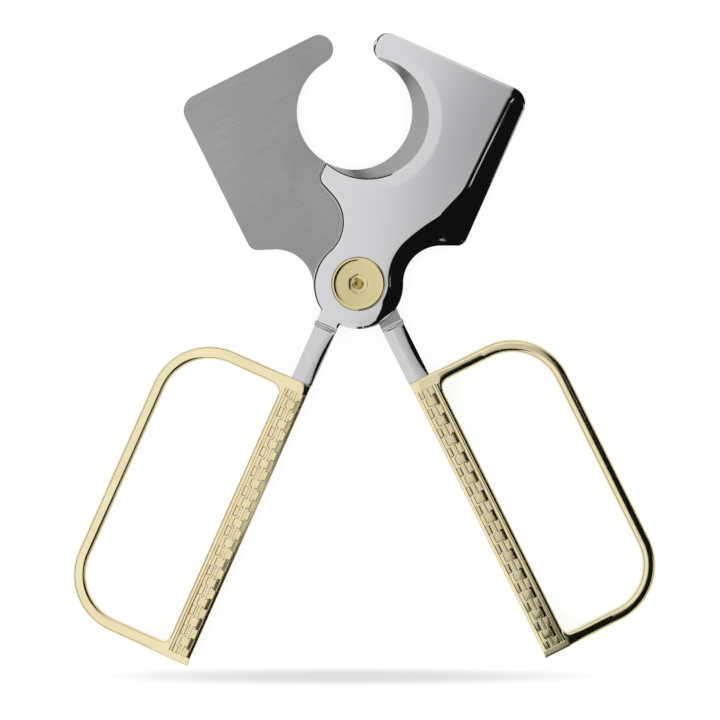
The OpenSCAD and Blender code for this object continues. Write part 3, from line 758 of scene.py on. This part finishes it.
def screw_shell():
    """The pivot screw: slot 0 its head, slot 1 its hidden boss and thread."""
    top = FACE_Z + HEAD_H
    floor = top - HEX_DEPTH
    rows = [ring(HEAD_R - back, FACE_Z + z) for back, z in HEAD_RIM]
    for r in np.linspace(HEAD_R - DISH_EDGE, DISH_IN, 9):
        dish = top - DISH_TOP - DISH_D * (1 - (r / HEAD_R) ** 2)
        rows.append(ring(r, dish))
    rows += [hex_ring(scale, dish - down) for scale, down in SOCKET]
    rows += [hex_ring(scale, floor + over) for scale, over in SOCKET_FOOT]
    rows += [ring(r, floor - down) for r, down in DRILLED]
    shell = Shell()
    shell.grid(rows, closed=True)
    shell.cap(rows[-1])
    z = FACE_Z - (HEX_DEPTH + BOSS_OVER - HEAD_H)
    under = [ring(HEAD_R - 0.02, FACE_Z), ring(BARREL_R, FACE_Z), ring(BARREL_R, z),
             ring(THREAD_R, z)]
    while z - 2 * THREAD_HALF > SHAFT_END - FACE_Z:
        under += [ring(THREAD_R - THREAD_D, z - THREAD_HALF), ring(THREAD_R, z - 2 * THREAD_HALF)]
        z -= 2 * THREAD_HALF
    shell.grid(under, 1, closed=True)
    shell.cap(under[-1], 1)
    return shell


# ---------------------------------------------------------------- materials

def new_material(name):
    m = bpy.data.materials.new(name)
    m.use_nodes = True
    m.node_tree.nodes.clear()
    return m, m.node_tree


def add_node(tree, kind, links=(), values=(), **settings):
    """A node with its settings, its linked inputs and the values of its other inputs."""
    made = tree.nodes.new(kind)
    for key, value in settings.items():
        setattr(made, key, value)
    for key, value in dict(values).items():
        made.inputs[key].default_value = value
    for key, socket in dict(links).items():
        tree.links.new(socket, made.inputs[key])
    return made


TONE_LOW, TONE_HIGH, FINE_LOW, FINE_HIGH, SMOOTHEST = 0.3, 0.7, 0.12, 0.42, 0.02


def metal(name, bright, deep, rough, spread, grain, fine, turn=0.0, cloud=35.0, bump=0.05,
          lift_mm=0.004, anisotropy=0.0, share=0.5):
    """A worn metal: streaks or grain along one direction over a soft cloudy tone."""
    m, tree = new_material(name)
    where = add_node(tree, "ShaderNodeTexCoord").outputs["Object"]
    turned = add_node(tree, "ShaderNodeMapping", {"Vector": where}, {"Rotation": (0, 0, turn)})

    def texture(scale, detail, roughness):
        sized = add_node(tree, "ShaderNodeMapping", {"Vector": turned.outputs[0]}, {"Scale": scale})
        return add_node(tree, "ShaderNodeTexNoise", {"Vector": sized.outputs[0]},
                        {"Scale": 1.0, "Detail": detail, "Roughness": roughness}).outputs["Fac"]

    streaks = texture(grain, 5.0, 0.6)
    clouds = texture((cloud, cloud, cloud), 2.0, 0.5)
    specks = texture(fine, 3.0, 0.7)
    blend = add_node(tree, "ShaderNodeMix", {2: clouds, 3: streaks}, {0: share}, data_type="FLOAT")
    ramp = add_node(tree, "ShaderNodeValToRGB", {0: blend.outputs[0]})
    for stop, at, tone in zip(ramp.color_ramp.elements, (TONE_LOW, TONE_HIGH), (deep, bright)):
        stop.position, stop.color = at, (*tone, 1)
    mixed = add_node(tree, "ShaderNodeMath", {0: streaks, 1: specks},
                     operation="MULTIPLY").outputs[0]
    span = add_node(tree, "ShaderNodeMapRange", {"Value": mixed},
                    {"From Min": FINE_LOW, "From Max": FINE_HIGH,
                     "To Min": max(rough - spread, SMOOTHEST), "To Max": rough + spread})
    relief = add_node(tree, "ShaderNodeBump", {"Height": mixed},
                      {"Strength": bump, "Distance": lift_mm * MM})
    shader = add_node(tree, "ShaderNodeBsdfPrincipled",
                      {"Base Color": ramp.outputs[0], "Roughness": span.outputs[0],
                       "Normal": relief.outputs[0]},
                      {"Metallic": 1.0, "Anisotropic": anisotropy})
    add_node(tree, "ShaderNodeOutputMaterial", {"Surface": shader.outputs[0]})
    return m


def streaky(along, across):
    """Noise scale for streaks of a length along X and a width across it, in millimetres."""
    return (1 / (along * MM), 1 / (across * MM), 1 / (across * MM))


def satin(name, turn):
    """Ground steel with its grain along the blade."""
    return metal(name, (0.36, 0.36, 0.36), (0.25, 0.25, 0.25), 0.34, 0.08, streaky(9, 0.16),
                 streaky(2.2, 0.09), turn, cloud=60, bump=0.5, lift_mm=0.012, anisotropy=0.5,
                 share=0.75)


CHROME = metal("polished chrome", (0.60, 0.60, 0.615), (0.585, 0.585, 0.60), 0.05, 0.02,
               streaky(4, 0.6), streaky(0.3, 0.3))
SHANK_STEEL = metal("polished shank steel", (0.56, 0.56, 0.57), (0.51, 0.51, 0.52), 0.09, 0.03,
                    streaky(0.6, 5), streaky(0.3, 0.3))
SATIN = satin("satin ground steel", -REST / 2)
SATIN_FRONT = satin("satin ground steel, front blade", REST / 2)
BEVEL = metal("brushed bevel steel", (0.37, 0.37, 0.37), (0.28, 0.28, 0.28), 0.3, 0.07,
              streaky(5, 0.14), streaky(1.5, 0.08), turn=0.3, cloud=80, bump=0.4, lift_mm=0.01,
              share=0.8)
EDGE = metal("polished steel edge", (0.60, 0.60, 0.61), (0.5, 0.5, 0.51), 0.14, 0.05,
             streaky(2, 0.3), streaky(0.4, 0.2), bump=0.1, lift_mm=0.005)
GOLD = metal("pale gold plate", (0.79, 0.72, 0.475), (0.72, 0.62, 0.37), 0.12, 0.04,
             streaky(3, 0.35), streaky(0.5, 0.2), cloud=120, bump=0.12, lift_mm=0.006)
GOLD_WEAVE = metal("pale gold weave", (0.76, 0.68, 0.44), (0.66, 0.56, 0.33), 0.16, 0.05,
                   streaky(1.2, 0.25), streaky(0.3, 0.15), cloud=200, lift_mm=0.002)
# painted highlight: the weave's steep flanks get a paler, brighter gold than its tops, standing in
# for bright highlights along the blocks' edges
GOLD_FLANK_PAINTED_HIGHLIGHT = metal("gold edges, painted highlight", (0.98, 0.92, 0.70), (0.90, 0.80, 0.56), 0.18, 0.05,
                   streaky(1.2, 0.25), streaky(0.3, 0.15), cloud=200, bump=0.1)
CAP_GOLD = metal("pale gold cap", (0.665, 0.58, 0.32), (0.58, 0.495, 0.255), 0.16, 0.05,
                 streaky(6, 0.12), streaky(0.5, 0.15), cloud=100, bump=0.15, lift_mm=0.006)
HIDDEN = metal("machined steel", (0.50, 0.50, 0.50), (0.38, 0.38, 0.38), 0.3, 0.08,
               streaky(3, 0.15), streaky(0.5, 0.1), cloud=90, bump=0.3, lift_mm=0.01)
BRONZE = metal("oiled bronze", (0.62, 0.40, 0.20), (0.45, 0.27, 0.13), 0.3, 0.08,
               streaky(2, 0.2), streaky(0.4, 0.15), cloud=150, bump=0.3, lift_mm=0.01)

# ---------------------------------------------------------------- the pieces

HALVES = (
    ("front_half", FRONT, "front", "left", "front", "back", SATIN_FRONT, "polished_steel"),
    ("rear_half", REAR, "rear", "right", "back", "front", SATIN, "satin_steel"),
)
FLIP = Matrix.Scale(-1, 4, (0, 0, 1))
for body, place, blade, hand, near, far, face, blade_slot in HALVES:
    build(f"{blade}_blade_polished", blade_shell(), place, [CHROME, face, BEVEL, EDGE],
          [f"{blade}_blade"], body, normals=outer_normals)
    build(f"{blade}_shank_collared", shank_shell(), place, [SHANK_STEEL, HIDDEN],
          [f"{blade}_shank"], body)
    build(f"{hand}_bar_panelled", bar_shell(), place, [GOLD],
          [f"{hand}_handle_bar"], body)
    build(f"{hand}_bow_rod", bow_shell(), place, [GOLD], [f"{hand}_handle_bow"], body)
    for side, spot in ((near, place), (far, place @ FLIP)):
        # slot 1, the weave's flanks, takes the painted highlight gold
        build(f"{hand}_weave_{side}_pads", strip_shell(), spot, [GOLD_WEAVE, GOLD_FLANK_PAINTED_HIGHLIGHT],
              [f"{hand}_weave_{side}"], body, sharp=1)
build("pivot_screw_dished", screw_shell(), FRONT, [CAP_GOLD, HIDDEN], ["pivot_screw"],
      "front_half")

KEPT = {"pivot_barrel_nut": CAP_GOLD, "pivot_spring_washer": HIDDEN,
        "pivot_thrust_washer": BRONZE, "left_tang_pin": HIDDEN, "right_tang_pin": HIDDEN}
for name, finish in KEPT.items():
    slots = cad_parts[name].data.materials
    slots.clear()
    slots.append(finish)

# ---------------------------------------------------------------- stage and light, in metres

TILT = math.radians(1.25)
# the floor's even glow, then a painted shadow on it: the dimmer glow of its grey streak, the
# streak's core, place and size
FLOOR_GLOW, SHADOW_STREAK_GLOW, SHADOW_STREAK_CORE = 0.80, 0.46, 0.2
SHADOW_STREAK_AT, SHADOW_STREAK_SIZE = (-0.0045, -0.0940, 0), (0.078, 0.0030, 1)
FLOOR_R, CARD_R, CARD_H, WALL_R = 3.0, 0.62, 0.22, 0.64
PALE = 1.13
# dimmer spots of the soft box: middle, size, depth
DIM_SPOTS = ((0.062, 0.040, 0.036, 0.036, 0.50), (0.040, -0.060, 0.018, 0.040, 0.26),
             (0.012, -0.018, 0.006, 0.006, 0.2))
# the right-hand flag's edge: two lines from one point, and two that bound it below
FLAG_X, FLAG_LEAN_LOW, FLAG_LEAN_HIGH = 0.0717, 1.02, 0.4717
FLAG_FOOT_X, FLAG_FOOT_LEAN, FLAG_FOOT_MAX = 0.0320, -0.40, 0.0538
FLAG_SOFT, FLAG_SOFTER, FLAG_DARK = 0.0055, 0.42, 0.993
FLAG_END, FLAG_FADED = 0.40, 0.34
SLIT_ACROSS, SLIT_ALONG, SLIT_AT, SLIT_HALF, SLIT_CORE = 0.9045, 0.4266, 0.108, 0.0045, 0.0020


def emission(name, colour=(1, 1, 1)):
    """A glowing material, with its tree and its emission node."""
    m, tree = new_material(name)
    glow = add_node(tree, "ShaderNodeEmission", values={"Color": (*colour, 1), "Strength": 1.0})
    add_node(tree, "ShaderNodeOutputMaterial", {"Surface": glow.outputs[0]})
    return m, tree, glow


def plane(name, points, material, seen_by_camera=False):
    mesh = bpy.data.meshes.new(name)
    mesh.from_pydata(points, [], [(0, 1, 2, 3)])
    mesh.materials.append(material)
    card = bpy.data.objects.new(name, mesh)
    bpy.context.scene.collection.objects.link(card)
    if not seen_by_camera:
        card.visible_camera = False
        card.visible_diffuse = False
        card.visible_shadow = False
        card.visible_transmission = False


def square(r, z):
    return [(-r, -r, z), (r, -r, z), (r, r, z), (-r, r, z)]


def floor_material():
    """The pale floor: mostly its own even glow, partly diffuse, with one soft grey streak of
    painted shadow where its glow dims.
    """
    m, tree, glow = emission("pale floor", (0.97, 0.97, 0.97))
    where = add_node(tree, "ShaderNodeTexCoord").outputs["Object"]
    shadow_streak_coords = add_node(tree, "ShaderNodeMapping", {"Vector": where},
                     {"Location": SHADOW_STREAK_AT, "Rotation": (0, 0, -TILT), "Scale": SHADOW_STREAK_SIZE},
                     vector_type="TEXTURE")
    shadow_streak_gap = add_node(tree, "ShaderNodeVectorMath", {0: shadow_streak_coords.outputs[0]}, operation="LENGTH")
    # painted shadow: the floor's glow dims to grey towards the streak's core
    shade = add_node(tree, "ShaderNodeMapRange", {"Value": shadow_streak_gap.outputs["Value"]},
                     {"From Min": 1.0, "From Max": SHADOW_STREAK_CORE, "To Min": FLOOR_GLOW,
                      "To Max": SHADOW_STREAK_GLOW}, interpolation_type="SMOOTHSTEP")
    tree.links.new(shade.outputs[0], glow.inputs["Strength"])
    matte = add_node(tree, "ShaderNodeBsdfDiffuse", values={"Color": (0.30, 0.30, 0.30, 1)})
    both = add_node(tree, "ShaderNodeAddShader", {0: glow.outputs[0], 1: matte.outputs[0]})
    tree.links.new(both.outputs[0], tree.nodes["Material Output"].inputs["Surface"])
    m.cycles.emission_sampling = "NONE"
    return m


def card_material():
    """The soft box above: pale, dimmer over the front blade, with dark flags to the right."""
    m, tree, glow = emission("soft box with flags")
    m.cycles.emission_sampling = "NONE"
    where = add_node(tree, "ShaderNodeTexCoord").outputs["Object"]
    axes = add_node(tree, "ShaderNodeSeparateXYZ", {0: where})
    X, Y = axes.outputs["X"], axes.outputs["Y"]

    def calc(op, *terms):
        values = {i: v for i, v in enumerate(terms) if isinstance(v, (int, float))}
        links = {i: v for i, v in enumerate(terms) if i not in values}
        return add_node(tree, "ShaderNodeMath", links, values, operation=op).outputs[0]

    def ramp(value, low, high):
        """0 up to low, 1 from high, smooth between; low may be above high."""
        return add_node(tree, "ShaderNodeMapRange", {"Value": value},
                        {"From Min": low, "From Max": high},
                        interpolation_type="SMOOTHSTEP").outputs[0]

    def mul(*terms):
        total = terms[0]
        for v in terms[1:]:
            total = calc("MULTIPLY", total, v)
        return total

    def bell(cx, cy, sx, sy):
        dx = calc("DIVIDE", calc("SUBTRACT", X, cx), sx)
        dy = calc("DIVIDE", calc("SUBTRACT", Y, cy), sy)
        return calc("EXPONENT", mul(calc("ADD", mul(dx, dx), mul(dy, dy)), -0.5))

    def leaning(start, lean):
        return calc("ADD", mul(Y, lean), start)

    pale = PALE
    for cx, cy, sx, sy, depth in DIM_SPOTS:
        pale = calc("SUBTRACT", pale, mul(bell(cx, cy, sx, sy), depth))
    # the right-hand flag: its near edge runs between handle bar and loop, then along the front wing
    upper = calc("MINIMUM", leaning(FLAG_X, FLAG_LEAN_LOW), leaning(FLAG_X, FLAG_LEAN_HIGH))
    lower = calc("MINIMUM", leaning(FLAG_FOOT_X, FLAG_FOOT_LEAN), FLAG_FOOT_MAX)
    past = calc("SUBTRACT", X, calc("MAXIMUM", upper, lower))
    soft = calc("ADD", mul(calc("MAXIMUM", Y, 0.0), FLAG_SOFTER), FLAG_SOFT)
    far = ramp(X, FLAG_END, FLAG_FADED)
    flag = mul(ramp(calc("DIVIDE", past, soft), -1.0, 1.0), ramp(Y, -0.39, -0.33),
               ramp(Y, FLAG_END, FLAG_FADED), calc("MAXIMUM", far, ramp(Y, -0.07, -0.02)))
    low_flag = mul(ramp(X, -0.009, 0.003), far, ramp(Y, -0.098, -0.109))
    kept = calc("SUBTRACT", 1.0, mul(calc("MAXIMUM", flag, low_flag), FLAG_DARK))
    # a thin bright slit in the flag, parallel to the front wing
    out = calc("SUBTRACT", mul(X, SLIT_ACROSS), mul(Y, SLIT_ALONG))
    along = calc("ADD", mul(X, SLIT_ALONG), mul(Y, SLIT_ACROSS))
    slit = mul(ramp(calc("ABSOLUTE", calc("SUBTRACT", out, SLIT_AT)), SLIT_HALF, SLIT_CORE),
               ramp(along, 0.036, 0.044), ramp(along, 0.066, 0.054))
    tree.links.new(calc("ADD", mul(pale, kept), slit), glow.inputs["Strength"])
    return m


plane("floor", square(FLOOR_R, 0), floor_material(), seen_by_camera=True)
plane("soft_box", square(CARD_R, CARD_H), card_material())
black = emission("black wall", (0.004, 0.004, 0.004))[0]
WALLS = (("wall_left", (-1, -1), (-1, 1), 0.175), ("wall_right", (1, 1), (1, -1), 0.20),
         ("wall_up", (-1, 1), (1, 1), 0.15), ("wall_down", (1, -1), (-1, -1), 0.15))
for name, a, b, high in WALLS:
    corners = zip((a, b, b, a), (0, 0, high, high))
    plane(name, [(WALL_R * x, WALL_R * y, z) for (x, y), z in corners], black)

world = bpy.data.worlds.new("studio")
world.use_nodes = True
world.node_tree.nodes["Background"].inputs["Color"].default_value = (1, 1, 1, 1)
world.node_tree.nodes["Background"].inputs["Strength"].default_value = 1.0
bpy.context.scene.world = world
bpy.context.scene.view_settings.view_transform = "Standard"

# ---------------------------------------------------------------- camera

DISTANCE, FRAME_W, SENSOR, AIM_RIGHT, AIM_DOWN = 1.2, 172.2 * MM, 36.0, 0.41 * MM, 18.16 * MM
right = Vector((math.cos(TILT), -math.sin(TILT), 0))
up = Vector((math.sin(TILT), math.cos(TILT), 0))
camera_data = bpy.data.cameras.new("camera")
camera_data.sensor_width = SENSOR
camera_data.lens = SENSOR * DISTANCE / FRAME_W
camera_data.clip_start, camera_data.clip_end = 0.01, 20.0
camera = bpy.data.objects.new("camera", camera_data)
bpy.context.scene.collection.objects.link(camera)
spot = Vector((0, 0, HALF_T * MM + DISTANCE)) + right * AIM_RIGHT - up * AIM_DOWN
camera.matrix_world = Matrix((
    (right.x, up.x, 0, spot.x), (right.y, up.y, 0, spot.y), (0, 0, 1, spot.z), (0, 0, 0, 1)))
bpy.context.scene.camera = camera
